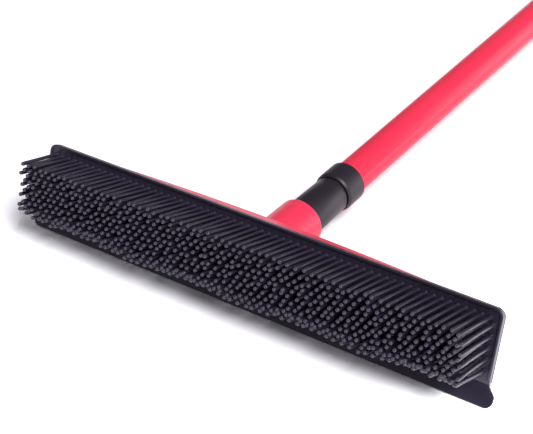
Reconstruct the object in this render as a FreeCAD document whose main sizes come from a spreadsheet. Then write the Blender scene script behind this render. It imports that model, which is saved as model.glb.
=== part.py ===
import FreeCAD
import Part
import Sketcher
import math
import os
import re

# Rubber carpet sweeper: a 31 cm head with a moulded bristle pad and a squeegee lip on a
# telescopic pole.  It lies as it is put down on a floor: on the squeegee's edge and on the
# lock nut, with the pole along +Y, the bristles towards -Y and +Z up.
#
# Two local frames carry all sub-parts.
#   head frame: x along the head, y across it (up when the sweeper lies down), z is the
#               direction of the bristles, and z = 0 is the face that the bristles grow from.
#   pole frame: z runs along the pole away from the head; z = 0 is axis_setback behind that face.

DIMENSIONS = (
    # head
    ("head_length", 310.0, "rubber pad, end to end"),
    ("head_height", 41.0, "rubber pad over the shell, bottom to top"),
    ("pad_skirt", 1.5, "extra rubber along the pad's lower edge, above the squeegee"),
    ("head_corner", 5.0, "corner radius of the pad"),
    ("pad_skin", 1.8, "rubber behind the bristle roots"),
    ("bead_width", 2.2, "raised bead along the pad's border"),
    ("bead_height", 0.8, "how far the bead stands over the face"),
    ("rim_depth", 3.6, "how far the pad's rim reaches behind its face"),
    ("rim_wall", 1.2, "rubber outside the shell's flange"),
    ("lip_reach", 1.2, "how far the lip hooks in behind the flange"),
    ("flange_thickness", 1.0, "edge flange of the shell"),
    ("slip_gap", 0.1, "gap left where one piece drops into another"),
    ("shell_wall", 2.2, "wall of the red shell"),
    ("shell_depth_middle", 17.0, "back of the shell behind the face, at the socket"),
    ("shell_depth_end", 6.5, "back of the shell behind the face, at its ends"),
    ("shell_round", 3.6, "rounded back edges of the shell"),
    ("plate_thickness", 2.0, "backing plate inside the shell"),
    ("screw_pitch_long", 62.0, "plate screws, along the head"),
    ("screw_pitch_wide", 22.0, "plate screws, across the head"),
    ("screw_shank", 1.45, "plate screw, shank radius"),
    ("screw_head", 2.9, "plate screw, head radius"),
    ("screw_length", 7.0, "plate screw"),
    ("boss_radius", 3.2, "screw boss in the shell"),
    # bristles
    ("bristle_pitch", 4.8, "bristles along a row"),
    ("row_pitch", 3.3, "row to row, every second row shifted by half a pitch"),
    ("row_margin", 6.4, "top edge of the pad to the first row"),
    ("bristle_length", 30.0, "root to tip"),
    ("bristle_radius", 1.2, "one bristle"),
    ("web_thickness", 0.6, "rubber web that the bristles stand on"),
    ("bristles_per_row", 63.0, "count"),
    ("bristle_rows", 11.0, "count"),
    # squeegee
    ("blade_reach", 12.2, "squeegee, root to edge"),
    ("blade_length", 320.0, "squeegee along its edge"),
    ("blade_thickness", 1.4, "squeegee at its edge"),
    ("blade_root", 3.2, "squeegee where it grows out of the pad"),
    ("blade_flare", 5.5, "distance over which the ends flare out"),
    ("blade_corner", 5.0, "rounded outer corners of the squeegee"),
    ("blade_tilt", 20.0, "squeegee, forward of the pad's plane, degrees"),
    # socket and pole end
    ("socket_lean", 18.6, "pole off the normal of the head, degrees"),
    ("socket_offset", 5.6, "origin of the pole frame below the middle of the head"),
    ("axis_setback", 5.0, "origin of the pole frame behind the face"),
    ("socket_start", 8.0, "inner end of the socket along the pole"),
    ("socket_end", 46.5, "rim of the socket along the pole"),
    ("socket_base_radius", 15.4, "socket at the shell"),
    ("socket_rim_radius", 14.5, "socket at its rim"),
    ("socket_bore", 10.0, "threaded bore of the socket"),
    ("socket_mouth", 12.3, "counterbore that takes the sleeve"),
    ("mouth_depth", 6.0, "depth of the counterbore"),
    ("bore_floor", 17.0, "closed end of the bore along the pole"),
    ("thread_radius", 9.7, "threaded stub of the pole tip"),
    ("thread_start", 18.5, "free end of the stub"),
    ("sleeve_start", 40.8, "sleeve of the tip, end inside the socket"),
    ("sleeve_radius", 12.2, "sleeve at the socket"),
    ("sleeve_end", 77.7, "sleeve ends, neck begins"),
    ("sleeve_waist", 11.55, "sleeve at the collar"),
    ("tube_start", 80.5, "lower tube begins"),
    ("plug_end", 112.0, "end of the plug inside the tube"),
    ("tip_core", 5.6, "radius of the moulded hollow in the tip"),
    ("collar_start", 79.3, "front edge of the collar"),
    ("collar_end", 95.9, "back edge of the collar"),
    ("collar_radius", 12.9, "outside of the collar"),
    ("collar_slope", 1.7, "length of the sloping front edge of the collar"),
    ("pin_station", 90.0, "cross pin through tube and plug"),
    ("pin_radius", 1.6, "cross pin"),
    # telescopic pole
    ("lower_radius", 10.75, "outside of the lower tube"),
    ("upper_radius", 9.5, "outside of the upper tube"),
    ("tube_wall", 0.6, "both steel tubes"),
    ("lower_end", 620.0, "lower tube ends"),
    ("upper_start", 134.0, "upper tube begins, pole pushed together"),
    ("upper_end", 764.0, "upper tube ends, pole pushed together"),
    ("running_gap", 0.07, "radial play of sliding and turning fits"),
    ("bush_length", 16.0, "guide bush on the upper tube"),
    ("bush_stub", 18.0, "part of the bush inside the upper tube"),
    # twist lock
    ("lock_start", 592.0, "lock body over the lower tube"),
    ("lock_radius", 13.2, "lock body"),
    ("neck_radius", 12.0, "threaded neck of the lock body"),
    ("neck_start", 622.0, "neck begins"),
    ("neck_end", 641.0, "neck ends"),
    ("collet_length", 11.0, "split clamping ring"),
    ("collet_radius", 12.0, "clamping ring, wide end"),
    ("collet_tip", 10.9, "clamping ring, narrow end"),
    ("collet_slit", 1.6, "slit of the clamping ring"),
    ("nut_start", 623.0, "lock nut begins"),
    ("nut_end", 658.0, "lock nut ends"),
    ("nut_radius", 17.0, "lock nut over its ribs"),
    ("nut_valley", 16.0, "lock nut between its ribs"),
    ("nut_ribs", 20.0, "count"),
    # grip and hanger
    ("grip_start", 664.0, "grip begins"),
    ("grip_radius", 12.6, "grip"),
    ("grip_grooves", 11.0, "count of rings cut in the grip"),
    ("groove_pitch", 8.0, "ring to ring"),
    ("groove_width", 2.4, "one ring"),
    ("groove_depth", 0.8, "one ring"),
    ("cap_shoulder", 12.0, "radius of the end plug's shoulder"),
    ("cap_start", 742.0, "end plug, inner end"),
    ("cap_end", 768.0, "end plug, outer face"),
    ("rivet_radius", 1.6, "swivel rivet, shank"),
    ("rivet_head", 3.2, "swivel rivet, head radius"),
    ("rivet_start", 752.0, "swivel rivet, inner end"),
    ("loop_start", 768.3, "foot of the hanging loop"),
    ("loop_seat", 774.3, "where the rivet's head holds the loop"),
    ("loop_width", 26.0, "hanging loop"),
    ("loop_thickness", 12.0, "hanging loop"),
    ("hang_hole", 6.0, "radius of the hole for a hook"),
    ("hang_station", 788.0, "centre of that hole"),
)

document = FreeCAD.newDocument("carpet_sweeper")
sheet = document.addObject("Spreadsheet::Sheet", "Sheet")
for row, (alias, number, meaning) in enumerate(DIMENSIONS, start=1):
    sheet.set("A%d" % row, alias)
    sheet.set("B%d" % row, repr(number))
    sheet.set("C%d" % row, "'" + meaning)
    sheet.setAlias("B%d" % row, alias)
document.recompute()

desk = document.addObject("Spreadsheet::Sheet", "Desk")

size = {alias: number for alias, number, meaning in DIMENSIONS}
HEAD_PARTS = []
POLE_PARTS = []


def bound(expression):
    """The expression with every dimension name read from the sheet."""
    return re.sub("[a-z_]+", lambda word: "Sheet." + word[0] if word[0] in size else word[0], expression)


def measure(expression):
    """What an expression comes to with the present dimensions, worked out in a cell."""
    desk.set("A1", "=" + bound(expression))
    desk.recompute()
    return float(desk.get("A1"))


def new_body(label, family):
    body = document.addObject("PartDesign::Body", label)
    body.Label = label
    family.append(body)
    return body


def new_sketch(body, role, name, lift="0"):
    """A sketch on one of the body's own origin planes, moved along its normal by lift."""
    sketch = body.newObject("Sketcher::SketchObject", body.Name + "_" + name)
    plane = [feature for feature in body.Origin.OriginFeatures if feature.Role == role][0]
    sketch.AttachmentSupport = [(plane, "")]
    sketch.MapMode = "FlatFace"
    sketch.setExpression("AttachmentOffset.Base.z", bound(lift))
    return sketch


def hold(sketch, kind, geometry, point, expression):
    """Hold one point of a sketch's element at a signed distance from the origin."""
    place = sketch.addConstraint(Sketcher.Constraint(kind, -1, 1, geometry, point, measure(expression)))
    sketch.setExpression("Constraints[%d]" % place, bound(expression))


def hold_radius(sketch, geometry, expression):
    place = sketch.addConstraint(Sketcher.Constraint("Radius", geometry, measure(expression)))
    sketch.setExpression("Constraints[%d]" % place, bound(expression))


def draw_outline(sketch, corners):
    """A closed outline whose corners are held by signed distances from the sketch's origin."""
    points = [FreeCAD.Vector(measure(across), measure(up), 0) for across, up in corners]
    count = len(points)
    for index in range(count):
        sketch.addGeometry(Part.LineSegment(points[index], points[(index + 1) % count]), False)
    for index in range(count):
        sketch.addConstraint(Sketcher.Constraint("Coincident", index, 2, (index + 1) % count, 1))
    for index, (across, up) in enumerate(corners):
        hold(sketch, "DistanceX", index, 1, across)
        hold(sketch, "DistanceY", index, 1, up)


def draw_circle(sketch, across, up, radius):
    centre = FreeCAD.Vector(measure(across), measure(up), 0)
    circle = sketch.addGeometry(Part.Circle(centre, FreeCAD.Vector(0, 0, 1), measure(radius)), False)
    hold(sketch, "DistanceX", circle, 3, across)
    hold(sketch, "DistanceY", circle, 3, up)
    hold_radius(sketch, circle, radius)


def draw_rounded_box(sketch, half_length, half_height, radius):
    """A centred box whose four corners are quarter circles."""
    across, up, bend = measure(half_length), measure(half_height), measure(radius)
    starts = []
    ends = []
    for quarter, (side, level) in enumerate(((1, 1), (-1, 1), (-1, -1), (1, -1))):
        centre = FreeCAD.Vector(side * (across - bend), level * (up - bend), 0)
        circle = Part.Circle(centre, FreeCAD.Vector(0, 0, 1), bend)
        first = quarter * math.pi / 2
        last = first + math.pi / 2
        arc = sketch.addGeometry(Part.ArcOfCircle(circle, first, last), False)
        hold(sketch, "DistanceX", arc, 3, "%d * ( %s - ( %s ) )" % (side, half_length, radius))
        hold(sketch, "DistanceY", arc, 3, "%d * ( %s - ( %s ) )" % (level, half_height, radius))
        hold_radius(sketch, arc, radius)
        starts.append(centre + bend * FreeCAD.Vector(math.cos(first), math.sin(first), 0))
        ends.append(centre + bend * FreeCAD.Vector(math.cos(last), math.sin(last), 0))
    for quarter in range(4):
        following = (quarter + 1) % 4
        line = sketch.addGeometry(Part.LineSegment(ends[quarter], starts[following]), False)
        sketch.addConstraint(Sketcher.Constraint("Tangent", quarter, 2, line, 1))
        sketch.addConstraint(Sketcher.Constraint("Coincident", line, 2, following, 1))


def draw_crowned_outline(sketch, half_length, front, end_depth, middle_depth):
    """The shell seen from the side: a straight front and a back that is one long arc."""
    half, near = measure(half_length), measure(front)
    low, deep = measure(end_depth), measure(middle_depth)
    rise = deep - low
    bend = (half * half + rise * rise) / (2 * rise)
    spread = math.asin(half / bend)
    circle = Part.Circle(FreeCAD.Vector(0, bend - deep, 0), FreeCAD.Vector(0, 0, 1), bend)
    down = 1.5 * math.pi
    back = sketch.addGeometry(Part.ArcOfCircle(circle, down - spread, down + spread), False)
    corners = [FreeCAD.Vector(half, -low, 0), FreeCAD.Vector(half, -near, 0),
               FreeCAD.Vector(-half, -near, 0), FreeCAD.Vector(-half, -low, 0)]
    lines = [sketch.addGeometry(Part.LineSegment(corners[n], corners[n + 1]), False) for n in range(3)]
    sketch.addConstraint(Sketcher.Constraint("Coincident", back, 2, lines[0], 1))
    sketch.addConstraint(Sketcher.Constraint("Coincident", lines[0], 2, lines[1], 1))
    sketch.addConstraint(Sketcher.Constraint("Coincident", lines[1], 2, lines[2], 1))
    sketch.addConstraint(Sketcher.Constraint("Coincident", lines[2], 2, back, 1))
    held = (
        (lines[0], half_length, "-(" + end_depth + ")"),
        (lines[1], half_length, "-(" + front + ")"),
        (lines[2], "-(" + half_length + ")", "-(" + front + ")"),
        (back, "-(" + half_length + ")", "-(" + end_depth + ")"))
    for edge, across, up in held:
        hold(sketch, "DistanceX", edge, 1, across)
        hold(sketch, "DistanceY", edge, 1, up)
    sag = "( (%s) - (%s) )" % (middle_depth, end_depth)
    hold_radius(sketch, back, "( (%s) ^ 2 + %s ^ 2 ) / ( 2 * %s )" % (half_length, sag, sag))


def box_outline(half_length, low, high):
    """The corners of a box that is centred sideways."""
    left = "-(%s)" % half_length
    return [(left, low), (half_length, low), (half_length, high), (left, high)]


def extrude(body, kind, sketch, length, backwards=False, middle=False):
    """A Pad or a Pocket of the sketch."""
    feature = body.newObject("PartDesign::" + kind, sketch.Name + "_" + kind.lower())
    feature.Profile = sketch
    feature.setExpression("Length", bound(length))
    feature.Reversed = backwards
    feature.Midplane = middle
    body.Tip = feature
    document.recompute()
    return feature


def turn(body, name, corners, kind="Revolution"):
    """A turned piece about the pole's axis; corners are (radius, station along the pole)."""
    sketch = new_sketch(body, "XZ_Plane", name)
    draw_outline(sketch, corners)
    feature = body.newObject("PartDesign::" + kind, sketch.Name + "_" + kind.lower())
    feature.Profile = sketch
    feature.ReferenceAxis = (sketch, ["V_Axis"])
    feature.Angle = 360
    body.Tip = feature
    document.recompute()
    return feature


def dress(body, kind, edges, amount):
    """Round or bevel the edges, which are names such as Edge7, of the body's last feature."""
    base = body.Tip
    feature = body.newObject("PartDesign::" + kind, body.Name + "_" + kind.lower())
    feature.Base = (base, edges)
    feature.setExpression("Radius" if kind == "Fillet" else "Size", bound(amount))
    body.Tip = feature
    document.recompute()
    return feature


def edges_where(body, test):
    shape = body.Tip.Shape
    return ["Edge%d" % number for number, edge in enumerate(shape.Edges, start=1) if test(edge)]


def is_upright(edge):
    """A straight edge along z."""
    ends = [vertex.Point for vertex in edge.Vertexes]
    return len(ends) == 2 and math.hypot(ends[0].x - ends[1].x, ends[0].y - ends[1].y) < 1e-6


# ---- rubber pad: skin, border bead, rim and the lip that hooks behind the shell's flange
def make_rubber_pad():
    body = new_body("rubber_pad", HEAD_PARTS)
    outer = new_sketch(body, "XY_Plane", "outline", "-rim_depth")
    draw_outline(outer, box_outline("head_length / 2", "-head_height / 2 - pad_skirt", "head_height / 2"))
    extrude(body, "Pad", outer, "rim_depth + bead_height")
    top_corners = edges_where(body, lambda edge: is_upright(edge) and edge.Vertexes[0].Y > 0)
    dress(body, "Fillet", top_corners, "head_corner")
    face = new_sketch(body, "XY_Plane", "face")
    draw_outline(face, box_outline("head_length / 2 - bead_width", "-head_height / 2 - pad_skirt - 1",
                                   "head_height / 2 - bead_width"))
    extrude(body, "Pocket", face, "bead_height + 1", backwards=True)
    web = new_sketch(body, "XY_Plane", "web", "-web_thickness")
    draw_outline(web, box_outline("head_length / 2 - bead_width", "-head_height / 2 - pad_skirt - 1",
                                  "head_height / 2 - bead_width"))
    extrude(body, "Pocket", web, "web_thickness + 1", backwards=True)
    seat = new_sketch(body, "XY_Plane", "seat", "-pad_skin")
    draw_rounded_box(seat, "head_length / 2 - rim_wall", "head_height / 2 - rim_wall",
                     "head_corner - rim_wall")
    extrude(body, "Pocket", seat, "flange_thickness + slip_gap")
    mouth = new_sketch(body, "XY_Plane", "mouth", "-pad_skin")
    draw_rounded_box(mouth, "head_length / 2 - rim_wall - lip_reach",
                     "head_height / 2 - rim_wall - lip_reach", "head_corner - rim_wall - lip_reach")
    extrude(body, "Pocket", mouth, "rim_depth - pad_skin + 1")


# ---- bristles: round-ended rubber pegs in staggered rows on a thin web, all one solid
def make_bristle_field():
    peg_radius = size["bristle_radius"]
    straight = size["bristle_length"] - peg_radius
    upward = FreeCAD.Vector(0, 0, 1)
    peg = Part.makeCylinder(peg_radius, straight)
    tip = Part.makeSphere(peg_radius, FreeCAD.Vector(0, 0, straight), upward, 0, 90)
    peg = peg.fuse(tip).removeSplitter()
    half_length = size["head_length"] / 2 - size["bead_width"] - size["slip_gap"]
    top_edge = size["head_height"] / 2 - size["bead_width"] - size["slip_gap"]
    low_edge = -size["head_height"] / 2 - size["pad_skirt"]
    corner = FreeCAD.Vector(-half_length, low_edge, -size["web_thickness"])
    web = Part.makeBox(2 * half_length, top_edge - corner.y, size["web_thickness"], corner)
    columns = int(size["bristles_per_row"])
    first_row = size["head_height"] / 2 - size["row_margin"]
    faces = []
    roots = []
    for row in range(int(size["bristle_rows"])):
        shift = (-0.25 if row % 2 == 0 else 0.25) * size["bristle_pitch"]
        for column in range(columns):
            along = (column - (columns - 1) / 2) * size["bristle_pitch"] + shift
            standing = peg.translated(FreeCAD.Vector(along, first_row - row * size["row_pitch"], 0))
            for face in standing.Faces:
                if face.BoundBox.ZMax < 1e-6:
                    roots.append(face.OuterWire)
                else:
                    faces.append(face)
    for face in web.Faces:
        if face.BoundBox.ZMin > -1e-6:
            face = Part.makeFace([face.OuterWire] + roots, "Part::FaceMakerBullseye")
        faces.append(face)
    field = document.addObject("Part::Feature", "bristle_field")
    field.Label = "bristle_field"
    field.Shape = Part.makeSolid(Part.makeShell(faces))
    HEAD_PARTS.append(field)


# ---- squeegee: a tapered rubber lip along the lower edge of the pad, with flared ends
def make_squeegee():
    body = new_body("squeegee_blade", HEAD_PARTS)
    root = "-head_height / 2 - pad_skirt"
    section = new_sketch(body, "YZ_Plane", "section")
    edge_out = root + " - blade_reach * cos(blade_tilt * 1 deg)"
    edge_up = "blade_reach * sin(blade_tilt * 1 deg)"
    draw_outline(section, [
        (root, "0"),
        (root, "-blade_root"),
        (root + " - 2.4", "-blade_thickness - 0.4"),
        (edge_out + " - blade_thickness * sin(blade_tilt * 1 deg)",
         edge_up + " - blade_thickness * cos(blade_tilt * 1 deg)"),
        (edge_out, edge_up)])
    extrude(body, "Pad", section, "blade_length", middle=True)
    flare_end = root + " - blade_flare * cos(blade_tilt * 1 deg)"
    for side, name in (("", "right"), ("-", "left")):
        waste = new_sketch(body, "XY_Plane", name)
        draw_outline(waste, [
            (side + "(head_length / 2)", root),
            (side + "(blade_length / 2)", flare_end),
            (side + "(blade_length / 2 + 1)", flare_end),
            (side + "(blade_length / 2 + 1)", root + " + 1"),
            (side + "(head_length / 2)", root + " + 1")])
        extrude(body, "Pocket", waste, "40", middle=True)
    dress(body, "Fillet", edges_where(body, is_blade_corner), "blade_corner")


def is_blade_corner(edge):
    """The short edge across the squeegee's thickness at either outer corner."""
    box = edge.BoundBox
    at_end = abs(box.XMax) > size["blade_length"] / 2 - 1e-3 and box.XLength < 1e-6
    outer_part = -size["head_height"] / 2 - size["pad_skirt"] - 0.8 * size["blade_reach"]
    return at_end and box.YMax < outer_part and edge.Length < 3


# ---- head shell: crowned tray with a flange, screw bosses and the leaning pole socket
def make_shell_tray():
    body = document.addObject("PartDesign::Body", "shell_tray")
    half_length = "head_length / 2 - rim_wall - lip_reach - slip_gap"
    half_height = "head_height / 2 - rim_wall - lip_reach - slip_gap"
    side = new_sketch(body, "XZ_Plane", "side")
    draw_crowned_outline(side, half_length, "pad_skin", "shell_depth_end", "shell_depth_middle")
    extrude(body, "Pad", side, "2 * ( " + half_height + " )", middle=True)
    dress(body, "Fillet", edges_where(body, is_upright), "head_corner - rim_wall")
    flat_front = -size["pad_skin"] - 0.5
    rounded = edges_where(body, lambda edge: edge.BoundBox.ZMax < flat_front)
    dress(body, "Fillet", rounded, "shell_round")
    flange = new_sketch(body, "XY_Plane", "flange", "-pad_skin")
    draw_rounded_box(flange, "head_length / 2 - rim_wall - slip_gap",
                     "head_height / 2 - rim_wall - slip_gap", "head_corner - rim_wall - slip_gap")
    extrude(body, "Pad", flange, "flange_thickness", backwards=True)
    hollow = new_sketch(body, "XZ_Plane", "hollow")
    draw_crowned_outline(hollow, half_length + " - shell_wall", "pad_skin - 1",
                         "shell_depth_end - shell_wall", "shell_depth_middle - shell_wall")
    extrude(body, "Pocket", hollow, "2 * ( " + half_height + " - shell_wall )", middle=True)
    sink = "( shell_depth_middle - shell_depth_end ) / ( head_length / 2 ) ^ 2"
    for name, station in (("inner", "screw_pitch_long / 2"), ("outer", "1.5 * screw_pitch_long")):
        reach = "shell_depth_middle - ( " + station + " ) ^ 2 * " + sink + " - shell_wall / 2"
        posts = new_sketch(body, "XY_Plane", "posts_" + name, "-pad_skin - plate_thickness")
        pilots = new_sketch(body, "XY_Plane", "pilots_" + name, "-pad_skin - plate_thickness")
        for across in ("", "-"):
            for up in ("", "-"):
                centre = (across + "(" + station + ")", up + "(screw_pitch_wide / 2)")
                draw_circle(posts, centre[0], centre[1], "boss_radius")
                draw_circle(pilots, centre[0], centre[1], "screw_shank")
        extrude(body, "Pad", posts, reach + " - pad_skin - plate_thickness", backwards=True)
        extrude(body, "Pocket", pilots, "screw_length - plate_thickness + 0.3")
    return body


def pole_origin_in_head():
    return FreeCAD.Vector(0, -size["socket_offset"], -size["axis_setback"])


def leaning(body):
    """Put a turned body on the pole's axis inside the head frame."""
    turned = FreeCAD.Rotation(FreeCAD.Vector(1, 0, 0), 180 + size["socket_lean"])
    body.Placement = FreeCAD.Placement(pole_origin_in_head(), turned)
    return body


def make_head_shell():
    tray = make_shell_tray()
    sleeve = document.addObject("PartDesign::Body", "socket_outside")
    turn(sleeve, "outside", [
        ("0", "socket_start"), ("socket_base_radius", "socket_start"),
        ("socket_rim_radius + 0.1", "socket_end - 2"), ("socket_rim_radius - 0.6", "socket_end - 0.5"),
        ("socket_rim_radius - 1.2", "socket_end"), ("0", "socket_end")])
    bore = document.addObject("PartDesign::Body", "socket_inside")
    turn(bore, "inside", [
        ("0", "bore_floor"), ("socket_bore", "bore_floor"),
        ("socket_bore", "socket_end - mouth_depth"), ("socket_mouth", "socket_end - mouth_depth"),
        ("socket_mouth", "socket_end + 1"), ("0", "socket_end + 1")])
    joined = document.addObject("Part::Fuse", "shell_with_socket")
    joined.Base = tray
    joined.Tool = leaning(sleeve)
    shell = document.addObject("Part::Cut", "head_shell")
    shell.Label = "head_shell"
    shell.Base = joined
    shell.Tool = leaning(bore)
    HEAD_PARTS.append(shell)


# ---- backing plate and its countersunk screws, under the rubber skin
SCREW_ROWS = ("", "-")
SCREW_COLUMNS = ("1.5 * screw_pitch_long", "screw_pitch_long / 2",
                 "-screw_pitch_long / 2", "-1.5 * screw_pitch_long")


def make_backing_plate():
    body = new_body("backing_plate", HEAD_PARTS)
    half_length = "head_length / 2 - rim_wall - lip_reach - shell_wall - 2 * slip_gap"
    half_height = "head_height / 2 - rim_wall - lip_reach - shell_wall - 2 * slip_gap"
    outline = new_sketch(body, "XY_Plane", "outline", "-pad_skin")
    draw_outline(outline, box_outline(half_length, "-(" + half_height + ")", half_height))
    extrude(body, "Pad", outline, "plate_thickness", backwards=True)
    holes = new_sketch(body, "XY_Plane", "holes", "-pad_skin")
    for column in SCREW_COLUMNS:
        for row in SCREW_ROWS:
            draw_circle(holes, column, row + "(screw_pitch_wide / 2)", "screw_shank + slip_gap")
    extrude(body, "Pocket", holes, "plate_thickness + 1")
    front = -size["pad_skin"]
    hole_rims = edges_where(body, lambda edge: edge.Closed and abs(edge.BoundBox.ZMax - front) < 1e-6)
    dress(body, "Chamfer", hole_rims, "screw_head - screw_shank")


def make_plate_screws():
    body = new_body("plate_screws", HEAD_PARTS)
    screw = turn(body, "screw", [
        ("0", "-pad_skin"), ("screw_head", "-pad_skin"),
        ("screw_shank", "-pad_skin - screw_head + screw_shank"),
        ("screw_shank", "-pad_skin - screw_length + 1.2"), ("0", "-pad_skin - screw_length")])
    outline = screw.Profile[0]
    outline.setExpression("AttachmentOffset.Base.x", bound("-1.5 * screw_pitch_long"))
    outline.setExpression("AttachmentOffset.Base.z", bound("screw_pitch_wide / 2"))
    pattern = body.newObject("PartDesign::MultiTransform", "screw_pattern")
    steps = []
    for axis, count, length in (("H_Axis", 4, "3 * screw_pitch_long"), ("N_Axis", 2, "screw_pitch_wide")):
        step = body.newObject("PartDesign::LinearPattern", "screw_row")
        step.Direction = (outline, [axis])
        step.Reversed = axis == "N_Axis"
        step.Occurrences = count
        step.setExpression("Length", bound(length))
        steps.append(step)
    pattern.Originals = [screw]
    pattern.Transformations = steps
    body.Tip = pattern
    document.recompute()


# ---- pole tip: threaded stub, smooth sleeve and the plug inside the tube, with its pin
def make_pole_tip():
    body = new_body("threaded_tip", POLE_PARTS)
    inside_tube = "lower_radius - tube_wall"
    turn(body, "tip", [
        ("0", "thread_start"), ("thread_radius - 1.5", "thread_start"),
        ("thread_radius", "thread_start + 1.5"), ("thread_radius", "sleeve_start"),
        ("sleeve_radius", "sleeve_start"), ("sleeve_waist", "sleeve_end"),
        ("lower_radius", "sleeve_end"), ("lower_radius", "tube_start"),
        (inside_tube, "tube_start"), (inside_tube, "plug_end - 1"), (inside_tube + " - 0.6", "plug_end"),
        ("tip_core", "plug_end"), ("tip_core", "thread_start + 8"), ("0", "thread_start + 8")])
    drill_across(body, "pin_station", "pin_radius")
    pin = new_body("tip_pin", POLE_PARTS)
    section = new_sketch(pin, "XZ_Plane", "section")
    draw_circle(section, "0", "pin_station", "pin_radius")
    extrude(pin, "Pad", section, "2 * ( lower_radius - slip_gap )", middle=True)


def drill_across(body, station, radius):
    hole = new_sketch(body, "XZ_Plane", "cross_hole")
    draw_circle(hole, "0", station, radius)
    extrude(body, "Pocket", hole, "80", middle=True)


def make_collar():
    body = new_body("collar", POLE_PARTS)
    bore = "lower_radius + running_gap"
    turn(body, "ring", [
        (bore, "collar_start"), ("collar_radius - 0.9", "collar_start"),
        ("collar_radius", "collar_start + collar_slope"), ("collar_radius", "collar_end - 0.8"),
        ("collar_radius - 0.5", "collar_end"), (bore, "collar_end")])


# ---- the two steel tubes and the bush that guides the inner one
def make_tubes():
    lower = new_body("lower_tube", POLE_PARTS)
    turn(lower, "wall", [
        ("lower_radius - tube_wall", "tube_start"), ("lower_radius", "tube_start"),
        ("lower_radius", "lower_end"), ("lower_radius - tube_wall", "lower_end")])
    drill_across(lower, "pin_station", "pin_radius")
    rivet_holes = new_sketch(lower, "YZ_Plane", "rivet_holes")
    draw_circle(rivet_holes, "0", "lock_start + 12", "pin_radius")
    extrude(lower, "Pocket", rivet_holes, "80", middle=True)
    upper = new_body("upper_tube", POLE_PARTS)
    turn(upper, "wall", [
        ("upper_radius - tube_wall", "upper_start"), ("upper_radius", "upper_start"),
        ("upper_radius", "upper_end"), ("upper_radius - tube_wall", "upper_end")])
    bush = new_body("guide_bush", POLE_PARTS)
    inner_end = "upper_start - bush_length"
    sliding = "lower_radius - tube_wall - running_gap"
    turn(bush, "bush", [
        ("tip_core", inner_end), (sliding + " - 0.8", inner_end), (sliding, inner_end + " + 1.2"),
        (sliding, "upper_start"), ("upper_radius - tube_wall", "upper_start"),
        ("upper_radius - tube_wall", "upper_start + bush_stub"), ("tip_core", "upper_start + bush_stub")])


# ---- twist lock: body riveted to the lower tube, split clamping ring and ribbed nut
def make_twist_lock():
    body = new_body("lock_body", POLE_PARTS)
    turn(body, "body", [
        ("lower_radius", "lock_start"), ("lock_radius - 1", "lock_start"),
        ("lock_radius", "lock_start + 1.5"), ("lock_radius", "neck_start"),
        ("neck_radius", "neck_start"), ("neck_radius", "neck_end"),
        ("upper_radius + running_gap", "neck_end"), ("upper_radius + running_gap", "lower_end"),
        ("lower_radius", "lower_end")])
    rivet_holes = new_sketch(body, "YZ_Plane", "rivet_holes")
    draw_circle(rivet_holes, "0", "lock_start + 12", "pin_radius")
    extrude(body, "Pocket", rivet_holes, "80", middle=True)
    rivets = new_body("lock_rivets", POLE_PARTS)
    shank = new_sketch(rivets, "YZ_Plane", "shank")
    draw_circle(shank, "0", "lock_start + 12", "pin_radius")
    extrude(rivets, "Pad", shank, "2 * lock_radius", middle=True)
    turn(rivets, "clear_tube", [
        ("0", "lock_start"), ("lower_radius - tube_wall", "lock_start"),
        ("lower_radius - tube_wall", "neck_start"), ("0", "neck_start")], kind="Groove")
    ring = new_body("lock_collet", POLE_PARTS)
    turn(ring, "ring", [
        ("upper_radius + running_gap", "neck_end + 0.5"), ("collet_radius", "neck_end + 0.5"),
        ("collet_tip", "neck_end + collet_length"),
        ("upper_radius + running_gap", "neck_end + collet_length")])
    slit = new_sketch(ring, "XZ_Plane", "slit")
    draw_outline(slit, box_outline("collet_slit / 2", "neck_end", "neck_end + collet_length + 1"))
    extrude(ring, "Pocket", slit, "30")
    nut = new_body("lock_nut", POLE_PARTS)
    clear = " + running_gap"
    turn(nut, "nut", [
        ("neck_radius" + clear, "nut_start"), ("nut_valley - 1.2", "nut_start"),
        ("nut_valley", "nut_start + 1.5"), ("nut_valley", "nut_end - 1.5"),
        ("nut_valley - 1.5", "nut_end"), ("upper_radius + 0.4", "nut_end"),
        ("upper_radius + 0.4", "neck_end + collet_length + 0.4"),
        ("collet_tip" + clear, "neck_end + collet_length + 0.4"),
        ("collet_radius" + clear, "neck_end + 0.5")])
    rib = new_sketch(nut, "XY_Plane", "rib", "nut_start + 2")
    draw_circle(rib, "nut_valley - 0.3", "0", "nut_radius - nut_valley + 0.3")
    first_rib = extrude(nut, "Pad", rib, "nut_end - nut_start - 4")
    pattern = nut.newObject("PartDesign::PolarPattern", "nut_rib_pattern")
    pattern.Originals = [first_rib]
    pattern.Axis = (rib, ["N_Axis"])
    pattern.Angle = 360
    pattern.setExpression("Occurrences", "Sheet.nut_ribs")
    nut.Tip = pattern
    document.recompute()


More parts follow.
